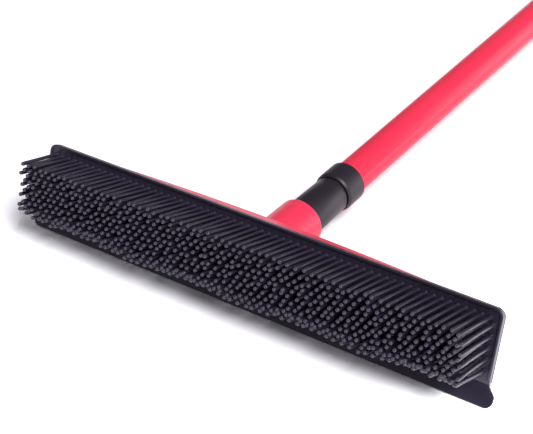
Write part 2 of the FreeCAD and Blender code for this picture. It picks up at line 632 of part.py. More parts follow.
# ---- grip, end plug and the hanging loop that swivels on a rivet
def make_grip_end():
    grip = new_body("grip", POLE_PARTS)
    corners = [("upper_radius", "grip_start"), ("grip_radius - 1", "grip_start"),
               ("grip_radius", "grip_start + 2")]
    for ring in range(int(size["grip_grooves"])):
        start = "grip_start + 8 + %d * groove_pitch" % ring
        corners += [
            ("grip_radius", start),
            ("grip_radius - groove_depth", start + " + groove_width / 4"),
            ("grip_radius - groove_depth", start + " + groove_width * 3 / 4"),
            ("grip_radius", start + " + groove_width")]
    corners += [("grip_radius", "upper_end - 1"), ("grip_radius - 0.6", "upper_end"),
                ("upper_radius", "upper_end")]
    turn(grip, "sleeve", corners)
    plug = new_body("end_plug", POLE_PARTS)
    inside_tube = "upper_radius - tube_wall"
    turn(plug, "plug", [
        ("rivet_radius", "cap_start"), (inside_tube + " - 1", "cap_start"), (inside_tube, "cap_start + 2"),
        (inside_tube, "upper_end"), ("cap_shoulder", "upper_end"), ("cap_shoulder", "cap_end - 1"),
        ("cap_shoulder - 1", "cap_end"), ("rivet_radius", "cap_end")])
    rivet = new_body("swivel_rivet", POLE_PARTS)
    turn(rivet, "rivet", [
        ("0", "rivet_start"), ("rivet_radius", "rivet_start"), ("rivet_radius", "loop_seat + 0.1"),
        ("rivet_head", "loop_seat + 0.1"), ("rivet_head", "loop_seat + 1.2"),
        ("rivet_head - 1.2", "loop_seat + 2.1"), ("0", "loop_seat + 2.1")])
    loop = new_body("hanging_loop", POLE_PARTS)
    tab = new_sketch(loop, "XZ_Plane", "tab")
    draw_outline(tab, box_outline("loop_width / 2", "loop_start", "hang_station + loop_width / 2"))
    extrude(loop, "Pad", tab, "loop_thickness", middle=True)
    far_end = size["hang_station"]
    across = edges_where(loop, lambda edge: edge.BoundBox.YLength > 5 and edge.BoundBox.ZMin > far_end)
    dress(loop, "Fillet", across, "loop_width / 2 - slip_gap")
    hook = new_sketch(loop, "XZ_Plane", "hook_hole")
    draw_circle(hook, "0", "hang_station", "hang_hole")
    extrude(loop, "Pocket", hook, "40", middle=True)
    turn(loop, "rivet_seat", [
        ("0", "loop_start - 1"), ("rivet_radius + running_gap", "loop_start - 1"),
        ("rivet_radius + running_gap", "loop_seat"), ("rivet_head + 2 * slip_gap", "loop_seat"),
        ("rivet_head + 2 * slip_gap", "hang_station"), ("0", "hang_station")], kind="Groove")


def lying_angles():
    """Pole droop and the height of the pole frame's origin when both contacts touch the floor."""
    tilt = math.radians(size["blade_tilt"])
    reach, thickness = size["blade_reach"], size["blade_thickness"]
    root = -size["head_height"] / 2 - size["pad_skirt"]
    edge_out = root - reach * math.cos(tilt) - thickness * math.sin(tilt)
    edge_up = reach * math.sin(tilt) - thickness * math.cos(tilt)
    from_axis = (edge_out + size["socket_offset"], edge_up + size["axis_setback"])
    touch = size["nut_end"] - 2
    droop = 0.0
    for attempt in range(30):
        stand = math.radians(90 - size["socket_lean"]) - droop
        height = -(from_axis[0] * math.sin(stand) + from_axis[1] * math.cos(stand))
        droop = math.asin((height - size["nut_radius"] * math.cos(droop)) / touch)
    return droop, height


def place_parts():
    """Lay the sweeper on the floor with its bounding box centred over the origin."""
    droop, height = lying_angles()
    stand = 90 - size["socket_lean"] - math.degrees(droop)
    across = FreeCAD.Vector(1, 0, 0)
    head_turn = FreeCAD.Rotation(across, stand)
    pole_turn = FreeCAD.Rotation(across, -90 - math.degrees(droop))
    axis_point = FreeCAD.Vector(0, 0, height)
    head_origin = axis_point - head_turn.multVec(pole_origin_in_head())
    for shift in (0.0, None):
        if shift is None:
            boxes = [part.Shape.BoundBox for part in HEAD_PARTS + POLE_PARTS]
            shift = -(min(box.YMin for box in boxes) + max(box.YMax for box in boxes)) / 2
        move = FreeCAD.Vector(0, shift, 0)
        for part in HEAD_PARTS:
            part.Placement = FreeCAD.Placement(head_origin + move, head_turn)
        for part in POLE_PARTS:
            part.Placement = FreeCAD.Placement(axis_point + move, pole_turn)
        document.recompute()
    return droop, axis_point + move, head_origin + move


make_rubber_pad()
make_bristle_field()
make_squeegee()
make_head_shell()
make_backing_plate()
make_plate_screws()
make_pole_tip()
make_collar()
make_tubes()
make_twist_lock()
make_grip_end()
document.removeObject("Desk")
droop, axis_point, head_origin = place_parts()

for item in document.Objects:
    if "Invalid" in item.State or "Error" in item.State:
        raise RuntimeError("%s failed: %s" % (item.Name, item.State))
os.makedirs("parts", exist_ok=True)
for part in HEAD_PARTS + POLE_PARTS:
    shape = part.Shape
    if shape.isNull() or not shape.isValid():
        raise RuntimeError(part.Label + " has no valid shape")
    shape.exportStep("parts/%s.step" % part.Label)
    box = shape.BoundBox
    print("%-16s %3d solids %9.1f mm3" % (part.Label, len(shape.Solids), shape.Volume),
          "x %.2f %.2f  y %.2f %.2f  z %.2f %.2f" % (
              box.XMin, box.XMax, box.YMin, box.YMax, box.ZMin, box.ZMax))
print("droop %.4f degrees, pole origin %s, head origin %s" % (math.degrees(droop), axis_point, head_origin))
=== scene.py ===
import math
import random

import bmesh
import bpy
from mathutils import Matrix, Vector


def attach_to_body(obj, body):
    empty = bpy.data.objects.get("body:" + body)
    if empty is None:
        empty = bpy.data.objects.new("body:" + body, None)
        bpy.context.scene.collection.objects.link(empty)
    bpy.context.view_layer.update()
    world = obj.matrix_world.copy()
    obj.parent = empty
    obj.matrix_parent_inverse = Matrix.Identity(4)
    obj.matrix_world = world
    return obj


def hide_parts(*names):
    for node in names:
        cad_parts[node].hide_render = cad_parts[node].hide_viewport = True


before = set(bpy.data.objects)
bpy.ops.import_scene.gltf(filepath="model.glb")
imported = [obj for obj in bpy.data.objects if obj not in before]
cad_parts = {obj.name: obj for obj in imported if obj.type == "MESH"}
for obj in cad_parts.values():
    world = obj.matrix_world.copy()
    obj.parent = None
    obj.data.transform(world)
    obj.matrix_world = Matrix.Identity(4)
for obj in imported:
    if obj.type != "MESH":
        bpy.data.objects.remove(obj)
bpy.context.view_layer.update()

# ---- Backing plate: a 2 mm glass-filled nylon board that stiffens the head from inside.
# It is cut from moulded sheet, drilled and countersunk, and screwed to the shell's bosses.
# It keeps its CAD shape, because nothing of it shows but its plain faces.


def linear(code):
    """An sRGB hex colour as the linear colour that a shader takes."""
    parts = [int(code[place:place + 2], 16) / 255 for place in (1, 3, 5)]
    return [p / 12.92 if p <= 0.04045 else ((p + 0.055) / 1.055) ** 2.4 for p in parts] + [1.0]


def add_node(tree, kind, inputs=(), **settings):
    """Add a node; inputs pairs a socket with a value, or with the output that feeds it."""
    node = tree.nodes.new(kind)
    for setting, value in settings.items():
        setattr(node, setting, value)
    for socket, value in dict(inputs).items():
        if isinstance(value, bpy.types.NodeSocket):
            tree.links.new(value, node.inputs[socket])
        else:
            node.inputs[socket].default_value = value
    return node


def new_material(name, colour, roughness, **sockets):
    """A named finish with its Principled shader; sockets are written with _ for a space."""
    material = bpy.data.materials.new(name)
    material.use_nodes = True
    shader = material.node_tree.nodes["Principled BSDF"]
    shader.inputs["Base Color"].default_value = linear(colour)
    shader.inputs["Roughness"].default_value = roughness
    for socket, value in sockets.items():
        shader.inputs[socket.replace("_", " ")].default_value = value
    return material, material.node_tree, shader


def coordinates(tree, size_mm, stretch=(1, 1, 1), turn=(0, 0, 0)):
    """Object coordinates scaled so that one unit of a pattern is size_mm millimetres."""
    place = add_node(tree, "ShaderNodeTexCoord")
    scale = [1000 / size_mm / part for part in stretch]
    mapping = add_node(tree, "ShaderNodeMapping", {
        "Vector": place.outputs["Object"], "Scale": scale, "Rotation": turn})
    return mapping.outputs["Vector"]


def dress_node(name, material):
    """Give a CAD node its finish."""
    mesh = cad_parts[name].data
    mesh.materials.clear()
    mesh.materials.append(material)


# Glass-filled nylon, machined: dark, dry, with short fibres that run in the sheet.
plate_nylon, tree, shader = new_material("glass_filled_nylon_sheet", "#26262a", 0.55)
fibres = add_node(tree, "ShaderNodeTexNoise", {
    "Vector": coordinates(tree, 1.5, (6, 1, 1)), "Scale": 1.0, "Detail": 3.0})
tint = add_node(tree, "ShaderNodeMix", {
    "Factor": fibres.outputs["Fac"], 6: linear("#202024"), 7: linear("#303036")}, data_type="RGBA")
tree.links.new(tint.outputs[2], shader.inputs["Base Color"])
dress_node("backing_plate", plate_nylon)

# ---- Plate screws: eight 3 mm countersunk self-tapping screws, steel, zinc plated.
# They keep their CAD shape and stay hidden between the plate and the rubber skin.

# Bright zinc on steel: a bluish grey metal, with fine turning marks round each screw.
zinc, tree, shader = new_material("zinc_plated_steel", "#b9bcc0", 0.3, Metallic=1.0)
marks = add_node(tree, "ShaderNodeTexNoise", {
    "Vector": coordinates(tree, 0.8), "Scale": 1.0, "Detail": 4.0})
dullness = add_node(tree, "ShaderNodeMapRange", {
    "Value": marks.outputs["Fac"], "To Min": 0.22, "To Max": 0.42})
tree.links.new(dullness.outputs["Result"], shader.inputs["Roughness"])
dress_node("plate_screws", zinc)

# ---- Head shell: a crowned tray with the pole's socket, one injection moulding in red
# polypropylene.  Its wall is 2.2 mm, its flange hooks behind the rubber's rim, and the socket
# leans back from the head and has a coarse thread inside.
MM = 0.001
HEAD_STAND = math.radians(70.7732)
HEAD_ORIGIN = (0, -0.384639, 0.031109)
# Pieces of the head are modelled in millimetres: x along the head, y across it, z towards the
# bristles' tips, and z = 0 on the face that they grow from.
in_head = Matrix.Translation(HEAD_ORIGIN) @ Matrix.Rotation(HEAD_STAND, 4, "X") @ Matrix.Scale(MM, 4)
# The tray's back is crowned: it lies deeper behind that face at the middle than at the ends.
TRAY_HALF_LENGTH, TRAY_HALF_HEIGHT = 152.5, 18.0
DEPTH_AT_END, DEPTH_AT_MIDDLE = 6.5, 17.0
WALL = 2.2
FLANGE_OVERHANG, FLANGE_BACK = 1.2, -2.8


def put_down():
    """Leave edit mode with nothing selected."""
    if bpy.context.mode != "OBJECT":
        bpy.ops.object.mode_set(mode="OBJECT")
    bpy.ops.object.select_all(action="DESELECT")


def take_up(piece):
    """Select one piece alone."""
    put_down()
    piece.select_set(True)
    bpy.context.view_layer.objects.active = piece


def start(name, primitive, **settings):
    """Add a primitive with nothing else selected, and open it for editing."""
    put_down()
    primitive(**settings)
    bpy.ops.object.transform_apply(location=True, rotation=True, scale=True)
    piece = bpy.context.object
    piece.name = name
    piece.data.name = name
    bpy.ops.object.mode_set(mode="EDIT")
    bpy.ops.mesh.select_mode(type="VERT")
    bpy.ops.mesh.select_all(action="SELECT")
    return piece


def pick(piece, kind, test):
    """In edit mode, select just the vertices, edges or faces that the test is true for."""
    bpy.ops.mesh.select_mode(type=kind)
    bpy.ops.mesh.select_all(action="DESELECT")
    mesh = bmesh.from_edit_mesh(piece.data)
    for part in {"VERT": mesh.verts, "EDGE": mesh.edges, "FACE": mesh.faces}[kind]:
        if test(part):
            part.select_set(True)
    mesh.select_flush_mode()
    bmesh.update_edit_mesh(piece.data)


def middle(part):
    """The mean of a face's or an edge's corners."""
    return sum((corner.co for corner in part.verts), Vector()) / len(part.verts)


def runs_along(edge, axis):
    """True for an edge that lies along an axis."""
    step = edge.verts[0].co - edge.verts[1].co
    return abs(step[axis]) > 0.999 * step.length


def extrude(step):
    """Extrude what is selected by a step."""
    bpy.ops.mesh.extrude_region_move(TRANSFORM_OT_translate={"value": step})


def modify(piece, kind, **settings):
    """Add a modifier and apply it."""
    take_up(piece)
    modifier = piece.modifiers.new(kind.lower(), kind)
    for setting, value in settings.items():
        setattr(modifier, setting, value)
    bpy.ops.object.modifier_apply(modifier=modifier.name)


def finish_piece(piece, place, body, material, cad_nodes, crease=35):
    """Lay a piece in its place, give it its finish, and let it ride in place of its CAD nodes."""
    take_up(piece)
    piece.matrix_world = place @ piece.matrix_world
    bpy.ops.object.transform_apply(location=True, rotation=True, scale=True)
    bpy.ops.object.shade_smooth_by_angle(angle=math.radians(crease))
    piece.data.materials.clear()
    piece.data.materials.append(material)
    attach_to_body(piece, body)
    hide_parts(*cad_nodes)


def crowned_block(name, half_length, half_height, front, deep_end, deep_middle, corner, back_round):
    """A block whose back bulges and narrows for its draft, with upright and back edges rounded."""
    block = start(name, bpy.ops.mesh.primitive_cube_add, size=1, location=(0, 0, -(front + deep_end) / 2),
                  scale=(2 * half_length, 2 * half_height, deep_end - front))
    strips = 50
    draft = 0.95
    behind = -front - 0.1
    pick(block, "EDGE", lambda edge: runs_along(edge, 0))
    bpy.ops.mesh.subdivide(number_cuts=strips - 1)
    for strip in range(strips + 1):
        along = half_length * (2 * strip / strips - 1)
        pick(block, "VERT", lambda point: abs(point.co.x - along) < 0.1 and point.co.z < behind)
        bulge = (deep_middle - deep_end) * (1 - (along / half_length) ** 2)
        bpy.ops.transform.translate(value=(0, 0, -bulge))
    pick(block, "VERT", lambda point: point.co.z < behind)
    bpy.ops.transform.resize(value=(1, draft, 1))
    pick(block, "EDGE", lambda edge: runs_along(edge, 2) and abs(middle(edge).x) > half_length - 0.1)
    bpy.ops.mesh.bevel(offset=corner, segments=6)
    pick(block, "EDGE", lambda edge: any(face.normal.z < -0.7 for face in edge.link_faces)
         and any(abs(face.normal.z) < 0.3 for face in edge.link_faces))
    bpy.ops.mesh.bevel(offset=back_round, segments=5)
    return block


def turned(name, outline, steps=96):
    """Turn an outline of (radius, height) points about z: one vertex is drawn along it, and spun."""
    piece = start(name, bpy.ops.mesh.primitive_plane_add, size=1)
    bpy.ops.mesh.merge(type="CENTER")
    bpy.ops.transform.translate(value=(outline[0][0], 0, outline[0][1]))
    ring = outline[1:] if outline[0][0] == outline[-1][0] == 0 else outline[1:] + outline[:1]
    here = outline[0]
    for there in ring:
        step = (there[0] - here[0], 0, there[1] - here[1])
        bpy.ops.mesh.extrude_vertices_move(TRANSFORM_OT_translate={"value": step})
        here = there
    bpy.ops.mesh.select_all(action="SELECT")
    bpy.ops.mesh.remove_doubles(threshold=0.001)
    bpy.ops.mesh.spin(steps=steps, angle=2 * math.pi, center=(0, 0, 0), axis=(0, 0, 1))
    bpy.ops.mesh.select_all(action="SELECT")
    bpy.ops.mesh.remove_doubles(threshold=0.001)
    bpy.ops.mesh.normals_make_consistent(inside=False)
    return piece


def combine(piece, tool, how, tool_place=None):
    """Join a tool to a piece or cut it away, and drop the tool."""
    put_down()
    if tool_place is not None:
        tool.matrix_world = tool_place
        bpy.context.view_layer.update()
    modify(piece, "BOOLEAN", object=tool, operation=how, solver="EXACT")
    bpy.data.objects.remove(tool)


def round_edges(piece, width, segments=2, sharper_than=30):
    """Break every edge sharper than an angle, as a mould or a deburring tool leaves it."""
    modify(piece, "BEVEL", width=width, segments=segments, limit_method="ANGLE",
           angle_limit=math.radians(sharper_than))


# Every thread here is coarse, with a lead of 5 mm a turn.
THREAD_LEAD = 5


def thread_ridge(name, inner, outer, crest_outside, first, last, place=Matrix()):
    """One start of a right-hand thread: a trapezoid half a lead wide at its root, wound round z."""
    ridge = start(name, bpy.ops.mesh.primitive_plane_add, size=1, rotation=(math.pi / 2, 0, 0),
                  location=((inner + outer) / 2, 0, first), scale=(outer - inner, THREAD_LEAD / 2, 1))
    pick(ridge, "VERT", lambda corner: (corner.co.x > (inner + outer) / 2) == crest_outside)
    bpy.ops.transform.resize(value=(1, 1, 0.5))
    bpy.ops.mesh.select_all(action="SELECT")
    bpy.ops.mesh.delete(type="ONLY_FACE")
    bpy.ops.object.mode_set(mode="OBJECT")
    turns = (last - first) / THREAD_LEAD
    steps = round(48 * turns)
    modify(ridge, "SCREW", angle=2 * math.pi * turns, screw_offset=last - first, axis="Z",
           steps=steps, render_steps=steps)
    bpy.ops.object.mode_set(mode="EDIT")
    bpy.ops.mesh.select_all(action="SELECT")
    bpy.ops.mesh.fill_holes(sides=0)
    bpy.ops.mesh.select_all(action="SELECT")
    bpy.ops.mesh.normals_make_consistent(inside=False)
    bpy.ops.object.mode_set(mode="OBJECT")
    ridge.matrix_world = place
    bpy.ops.object.transform_apply(location=True, rotation=True, scale=True)
    return ridge


def attach(piece, others):
    """Make several bodies of one moulding one object."""
    take_up(piece)
    for other in others:
        other.select_set(True)
    bpy.ops.object.join()
    return piece


def copy_of(piece):
    """A copy of a piece, with its own mesh."""
    twin = piece.copy()
    twin.data = piece.data.copy()
    bpy.context.collection.objects.link(twin)
    return twin


# The pole leans back by 18.6 degrees from the head's normal, and meets it 5.6 mm below the middle.
POLE_LEAN = 18.6
lean_of_socket = Matrix.Translation((0, -5.6, -5)) @ Matrix.Rotation(math.radians(180 + POLE_LEAN), 4, "X")

shell = crowned_block("head_tray", TRAY_HALF_LENGTH, TRAY_HALF_HEIGHT, front=1.8, deep_end=DEPTH_AT_END,
                      deep_middle=DEPTH_AT_MIDDLE, corner=3.8, back_round=2.8)

# The flange that holds the rubber is a thin skirt round the tray's open side.
bpy.ops.mesh.select_all(action="SELECT")
bpy.ops.mesh.bisect(plane_co=(0, 0, FLANGE_BACK), plane_no=(0, 0, 1))
pick(shell, "FACE", lambda face: abs(face.normal.z) < 0.35 and middle(face).z > FLANGE_BACK)
bpy.ops.mesh.extrude_region_shrink_fatten(TRANSFORM_OT_shrink_fatten={"value": FLANGE_OVERHANG})
round_edges(shell, 0.3, 2, 50)

# The socket, the hollow behind the rubber and the bore.
socket = turned("socket", [
    (0, 8), (15.4, 8), (14.6, 44.7), (14.45, 45.5), (14.1, 46.1), (13.5, 46.5), (0, 46.5)])
combine(shell, socket, "UNION", lean_of_socket)
hollow = crowned_block("tray_hollow", TRAY_HALF_LENGTH - WALL, TRAY_HALF_HEIGHT - WALL, front=0.8,
                       deep_end=DEPTH_AT_END - WALL, deep_middle=DEPTH_AT_MIDDLE - WALL,
                       corner=2.0, back_round=1.4)
combine(shell, hollow, "DIFFERENCE")
socket_floor = turned("socket_floor", [(0, 13), (12.8, 13), (12.8, 20), (0, 20)])
combine(shell, socket_floor, "UNION", lean_of_socket)
bore = turned("bore", [
    (0, 17), (10, 17), (10, 40.5), (12.3, 40.5), (12.3, 45.9), (12.45, 46.3), (12.8, 46.6),
    (12.8, 48), (0, 48)])
combine(shell, bore, "DIFFERENCE", lean_of_socket)

# Eight screw bosses stand inside the tray, under the plate; the screws cut their own thread.
# Each is stretched to end in the middle of the crowned wall.
PLATE_BACK = 3.8
BOSS_LENGTH, BOSS_RADIUS = 12.4, 3.2
PILOT_END, PILOT_RADIUS = 8.9, 1.45
boss = turned("boss", [
    (PILOT_RADIUS, -PLATE_BACK), (BOSS_RADIUS, -PLATE_BACK), (BOSS_RADIUS, -PLATE_BACK - BOSS_LENGTH),
    (0, -PLATE_BACK - BOSS_LENGTH), (0, -PILOT_END), (PILOT_RADIUS, -PILOT_END)], 32)
bpy.ops.object.mode_set(mode="OBJECT")
for along in (-93, -31, 31, 93):
    crown = (DEPTH_AT_MIDDLE - DEPTH_AT_END) * (along / TRAY_HALF_LENGTH) ** 2
    reach = (DEPTH_AT_MIDDLE - crown - WALL / 2 - PLATE_BACK) / BOSS_LENGTH
    for across in (-11, 11):
        stand = Matrix.Translation((along, across, -PLATE_BACK * (1 - reach)))
        combine(shell, copy_of(boss), "UNION", stand @ Matrix.Diagonal((1, 1, reach, 1)))
bpy.data.objects.remove(boss)

# Where the socket meets the crowned back, the mould leaves a small fillet.  The test for it also
# picks the feet of the four inner bosses, out of sight in the tray, and they are filleted too.
# At the lower two the fillet's mesh isn't the same each run: some eight points of each can lie up
# to 1.3 mm from where another run puts them.  The cuts before it also leave the tray's points in
# another order each run.
take_up(shell)
bpy.ops.object.mode_set(mode="EDIT")
bpy.ops.mesh.select_all(action="SELECT")
bpy.ops.mesh.remove_doubles(threshold=0.01)
bpy.ops.mesh.dissolve_degenerate(threshold=0.01)


def is_socket_seam(edge):
    """True for the inside corners round the socket's foot and round the four inner bosses' feet."""
    if len(edge.link_faces) != 2 or edge.is_convex or edge.calc_face_angle() < math.radians(25):
        return False
    along_pole = lean_of_socket.inverted() @ middle(edge)
    return math.hypot(along_pole.x, along_pole.y) > 14 and middle(edge).z < -13


pick(shell, "EDGE", is_socket_seam)
bpy.ops.mesh.bevel(offset=1.4, segments=3, clamp_overlap=False)
attach(shell, [thread_ridge(
    "socket_thread", inner=9.0, outer=10.2, crest_outside=False, first=19, last=39, place=lean_of_socket)])

# Injection-moulded polypropylene, red: it takes the mould's polish, so it is glossy, with faint
# flow marks in its colour and a slight waviness where the wall shrank.
red_polypropylene, tree, shader = new_material(
    "gloss_red_polypropylene", "#fb3a5c", 0.38, Specular_IOR_Level=0.3,
    Subsurface_Weight=0.05, Subsurface_Scale=0.002)
flow = add_node(tree, "ShaderNodeTexNoise", {
    "Vector": coordinates(tree, 45, (1, 3, 3)), "Scale": 1.0, "Detail": 3.0, "Roughness": 0.6})
tint = add_node(tree, "ShaderNodeMix", {
    "Factor": flow.outputs["Fac"], 6: linear("#f63356"), 7: linear("#fe4062")}, data_type="RGBA")
tree.links.new(tint.outputs[2], shader.inputs["Base Color"])
grain = add_node(tree, "ShaderNodeTexNoise", {
    "Vector": coordinates(tree, 1.2), "Scale": 1.0, "Detail": 4.0})
polish = add_node(tree, "ShaderNodeMapRange", {
    "Value": grain.outputs["Fac"], "To Min": 0.32, "To Max": 0.44})
tree.links.new(polish.outputs["Result"], shader.inputs["Roughness"])
waviness = add_node(tree, "ShaderNodeBump", {
    "Height": flow.outputs["Fac"], "Strength": 0.15, "Distance": 0.002})
tree.links.new(waviness.outputs["Normal"], shader.inputs["Normal"])
finish_piece(shell, in_head, "head", red_polypropylene, ["head_shell"])

# ---- Rubber pad: the black thermoplastic rubber skin that snaps over the shell's flange.
# It is one moulding with the bristles and the squeegee; a raised bead frames its face on
# three sides, and its hooked rim shows as a black band round the red shell.
PAD_LENGTH = 310
PAD_TOP, PAD_FOOT = 20.5, -22
BEAD, PAD_BACK = 0.8, -3.6
RIM = 2.4
pad = start("rubber_pad_skin", bpy.ops.mesh.primitive_cube_add, size=1,
            location=(0, (PAD_TOP + PAD_FOOT) / 2, (BEAD + PAD_BACK) / 2),
            scale=(PAD_LENGTH, PAD_TOP - PAD_FOOT, BEAD - PAD_BACK))
pick(pad, "EDGE", lambda edge: runs_along(edge, 2) and middle(edge).y > 0)
bpy.ops.mesh.bevel(offset=5, segments=8)
pick(pad, "FACE", lambda face: face.normal.z > 0.9)
bpy.ops.mesh.inset(thickness=1.7)
bpy.ops.mesh.inset(thickness=0.25)
bpy.ops.transform.translate(value=(0, 0, -BEAD))
bpy.ops.mesh.select_all(action="SELECT")
bpy.ops.mesh.bisect(plane_co=(0, -17.5, 0), plane_no=(0, 1, 0))
pick(pad, "VERT", lambda corner: corner.co.y < -18 and corner.co.z > 0.1)
bpy.ops.transform.translate(value=(0, 0, -BEAD))

# Behind, the rim is undercut all round, and the shell's flange snaps into the undercut.
pick(pad, "FACE", lambda face: face.normal.z < -0.9)
bpy.ops.mesh.inset(thickness=RIM)
pick(pad, "VERT", lambda corner: corner.co.z < -3.5 and -21 < corner.co.y < -19)
bpy.ops.transform.translate(value=(0, 1.5, 0))
pick(pad, "FACE", lambda face: face.normal.z < -0.9 and all(
    abs(corner.co.x) < 152.7 and abs(corner.co.y) < 18.2 for corner in face.verts))
extrude((0, 0, 0.7))
extrude((0, 0, 0))
opening_length, opening_height = PAD_LENGTH / 2 - RIM, PAD_TOP - RIM
bpy.ops.transform.resize(value=(
    (opening_length + FLANGE_OVERHANG) / opening_length,
    (opening_height + FLANGE_OVERHANG) / opening_height, 1))
extrude((0, 0, 1.1))
pick(pad, "VERT", lambda corner: corner.co.z < -3.5 and corner.co.y > 15.4
     and math.hypot(max(abs(corner.co.x) - 150, 0), corner.co.y - 15.5) > 4)
bpy.ops.transform.translate(value=(0, -0.7, 0))
pick(pad, "EDGE", lambda edge: edge.calc_face_angle() > 0.6
     and (middle(edge).y > -17.6 or middle(edge).z < -0.5))
bpy.ops.mesh.bevel(offset=0.35, segments=3, clamp_overlap=False)

# A fine groove runs round the rim, where the two halves of the mould met.
GROOVE_FRONT, GROOVE_BACK = -1.7, -2.2
for depth in (GROOVE_FRONT, GROOVE_BACK):
    bpy.ops.mesh.select_all(action="SELECT")
    bpy.ops.mesh.bisect(plane_co=(0, 0, depth), plane_no=(0, 0, 1))
pick(pad, "FACE", lambda face: GROOVE_BACK < middle(face).z < GROOVE_FRONT and abs(face.normal.z) < 0.35
     and (abs(middle(face).x) > 154.5 or middle(face).y > 19.6 or math.hypot(
         max(abs(middle(face).x) - 150, 0), middle(face).y - 15.5) > 4.5 and middle(face).y > 15.4))
bpy.ops.mesh.extrude_region_shrink_fatten(TRANSFORM_OT_shrink_fatten={"value": -0.3})

# Thermoplastic rubber, injection moulded: near black, satin, with a dusty bloom in broad faint
# patches and a fine eroded grain from the mould.  The last millimetre of each bristle is painted
# paler, a painted highlight for the light that the bristles' flat ends catch.
BRISTLE_LENGTH = 30
tpr_rubber, tree, shader = new_material("moulded_tpr_rubber", "#2b2538", 0.4, IOR=1.5)
bloom = add_node(tree, "ShaderNodeTexNoise", {
    "Vector": coordinates(tree, 18), "Scale": 1.0, "Detail": 5.0, "Roughness": 0.65})
tint = add_node(tree, "ShaderNodeMix", {
    "Factor": bloom.outputs["Fac"], 6: linear("#221d2d"), 7: linear("#322b3f")}, data_type="RGBA")
from_face = add_node(tree, "ShaderNodeVectorMath", {
    0: add_node(tree, "ShaderNodeTexCoord").outputs["Object"], 1: HEAD_ORIGIN}, operation="SUBTRACT")
height = add_node(tree, "ShaderNodeVectorMath", {
    0: from_face.outputs["Vector"], 1: (0, -math.sin(HEAD_STAND), math.cos(HEAD_STAND))},
    operation="DOT_PRODUCT")
# Painted highlight: the bristles' last millimetre is painted paler, for the light their ends catch.
painted_tip_highlight = add_node(tree, "ShaderNodeMapRange", {
    "Value": height.outputs["Value"], "To Max": 0.7,
    "From Min": (BRISTLE_LENGTH - 1.2) * MM, "From Max": (BRISTLE_LENGTH - 0.3) * MM})
tint_with_painted_tips = add_node(tree, "ShaderNodeMix", {
    "Factor": painted_tip_highlight.outputs["Result"], 6: tint.outputs[2], 7: linear("#494355")}, data_type="RGBA")
tree.links.new(tint_with_painted_tips.outputs[2], shader.inputs["Base Color"])
grain = add_node(tree, "ShaderNodeTexNoise", {
    "Vector": coordinates(tree, 0.5), "Scale": 1.0, "Detail": 2.0})
satin = add_node(tree, "ShaderNodeMapRange", {
    "Value": bloom.outputs["Fac"], "To Min": 0.31, "To Max": 0.43})
tree.links.new(satin.outputs["Result"], shader.inputs["Roughness"])
erosion = add_node(tree, "ShaderNodeBump", {
    "Height": grain.outputs["Fac"], "Strength": 0.25, "Distance": 0.0001})
tree.links.new(erosion.outputs["Normal"], shader.inputs["Normal"])
finish_piece(pad, in_head, "head", tpr_rubber, ["rubber_pad"])

# ---- Bristles: 693 soft pegs of the pad's own rubber, in eleven staggered rows of 63.
# Each is moulded in one shot with the pad, a little thicker at its tip than at its waist, and
# they stand slightly out of true because they were pulled warm from the mould.
ROWS, PER_ROW = 11, 63
PITCH, ROW_PITCH = 4.8, 3.3
TOP_ROW, STAGGER = 14.1, 1.2
FIELD_END = PER_ROW * PITCH / 2
peg = start("peg", bpy.ops.mesh.primitive_circle_add,
            vertices=8, radius=1.75, location=(0, 0, -0.3), fill_type="NGON")
peg_outline = (
    (0.3, 1.55), (0.9, 1.18), (10, 1.08), (20, 1.12), (29.3, 1.25), (29.8, 1.08), (BRISTLE_LENGTH, 0.8))
for height, radius in peg_outline:
    here = bmesh.from_edit_mesh(peg.data)
    top = max(corner.co.z for corner in here.verts)
    wide = max(corner.co.x for corner in here.verts if corner.co.z > top - 1e-4)
    extrude((0, 0, height - top))
    bpy.ops.transform.resize(value=(radius / wide, radius / wide, 1))
bpy.ops.mesh.select_all(action="SELECT")
bpy.ops.mesh.normals_make_consistent(inside=False)
bpy.ops.object.mode_set(mode="OBJECT")

# The rows droop a little; the lowest two are bent up from the squeegee, in waves and more so
# near the ends, and the outermost column leans in.  On top of that each leans by its own chance.
PRESSED_ROWS = 2
SPLAY_ALONG, SPLAY_ACROSS = 0.45, 0.4
chance = random.Random(31)
pegs = []
for row in range(ROWS):
    shift = -STAGGER if row % 2 == 0 else STAGGER
    press = max(0, row - (ROWS - 1 - PRESSED_ROWS)) / PRESSED_ROWS
    across = TOP_ROW - ROW_PITCH * row
    for column in range(PER_ROW):
        along = (column - (PER_ROW - 1) / 2) * PITCH + shift
        end = math.exp(-(FIELD_END - abs(along)) / 25)
        edge = math.exp(-(FIELD_END - along) / 7)
        wave = math.cos((along + 24) / 11.8)
        lean_along = -1.2 + 0.2 * row + 0.5 * math.sin(along / 41 + row) - 1.8 * edge
        lean_along += chance.gauss(0, SPLAY_ALONG)
        lean_across = -0.8 + 0.5 * math.sin(along / 57 + 2 + 0.4 * row) - 2.2 * edge * (1 - press)
        lean_across += press * (2.4 + 1.2 * wave + 3.0 * end) + chance.gauss(0, SPLAY_ACROSS)
        one = copy_of(peg)
        turn = chance.uniform(0, math.pi)
        for corner in one.data.vertices:
            x, y, z = corner.co
            share = max(z, 0) / BRISTLE_LENGTH
            bow = share ** 1.5
            corner.co = (along + x * math.cos(turn) - y * math.sin(turn) + lean_along * bow,
                         across + x * math.sin(turn) + y * math.cos(turn) + lean_across * bow, z)
        pegs.append(one)
bpy.data.objects.remove(peg)
bpy.ops.object.select_all(action="DESELECT")
for one in pegs:
    one.select_set(True)
bpy.context.view_layer.objects.active = pegs[0]
bpy.ops.object.join()
bristles = pegs[0]
bristles.name = "bristles"
finish_piece(bristles, in_head, "head", tpr_rubber, ["bristle_field"], 50)

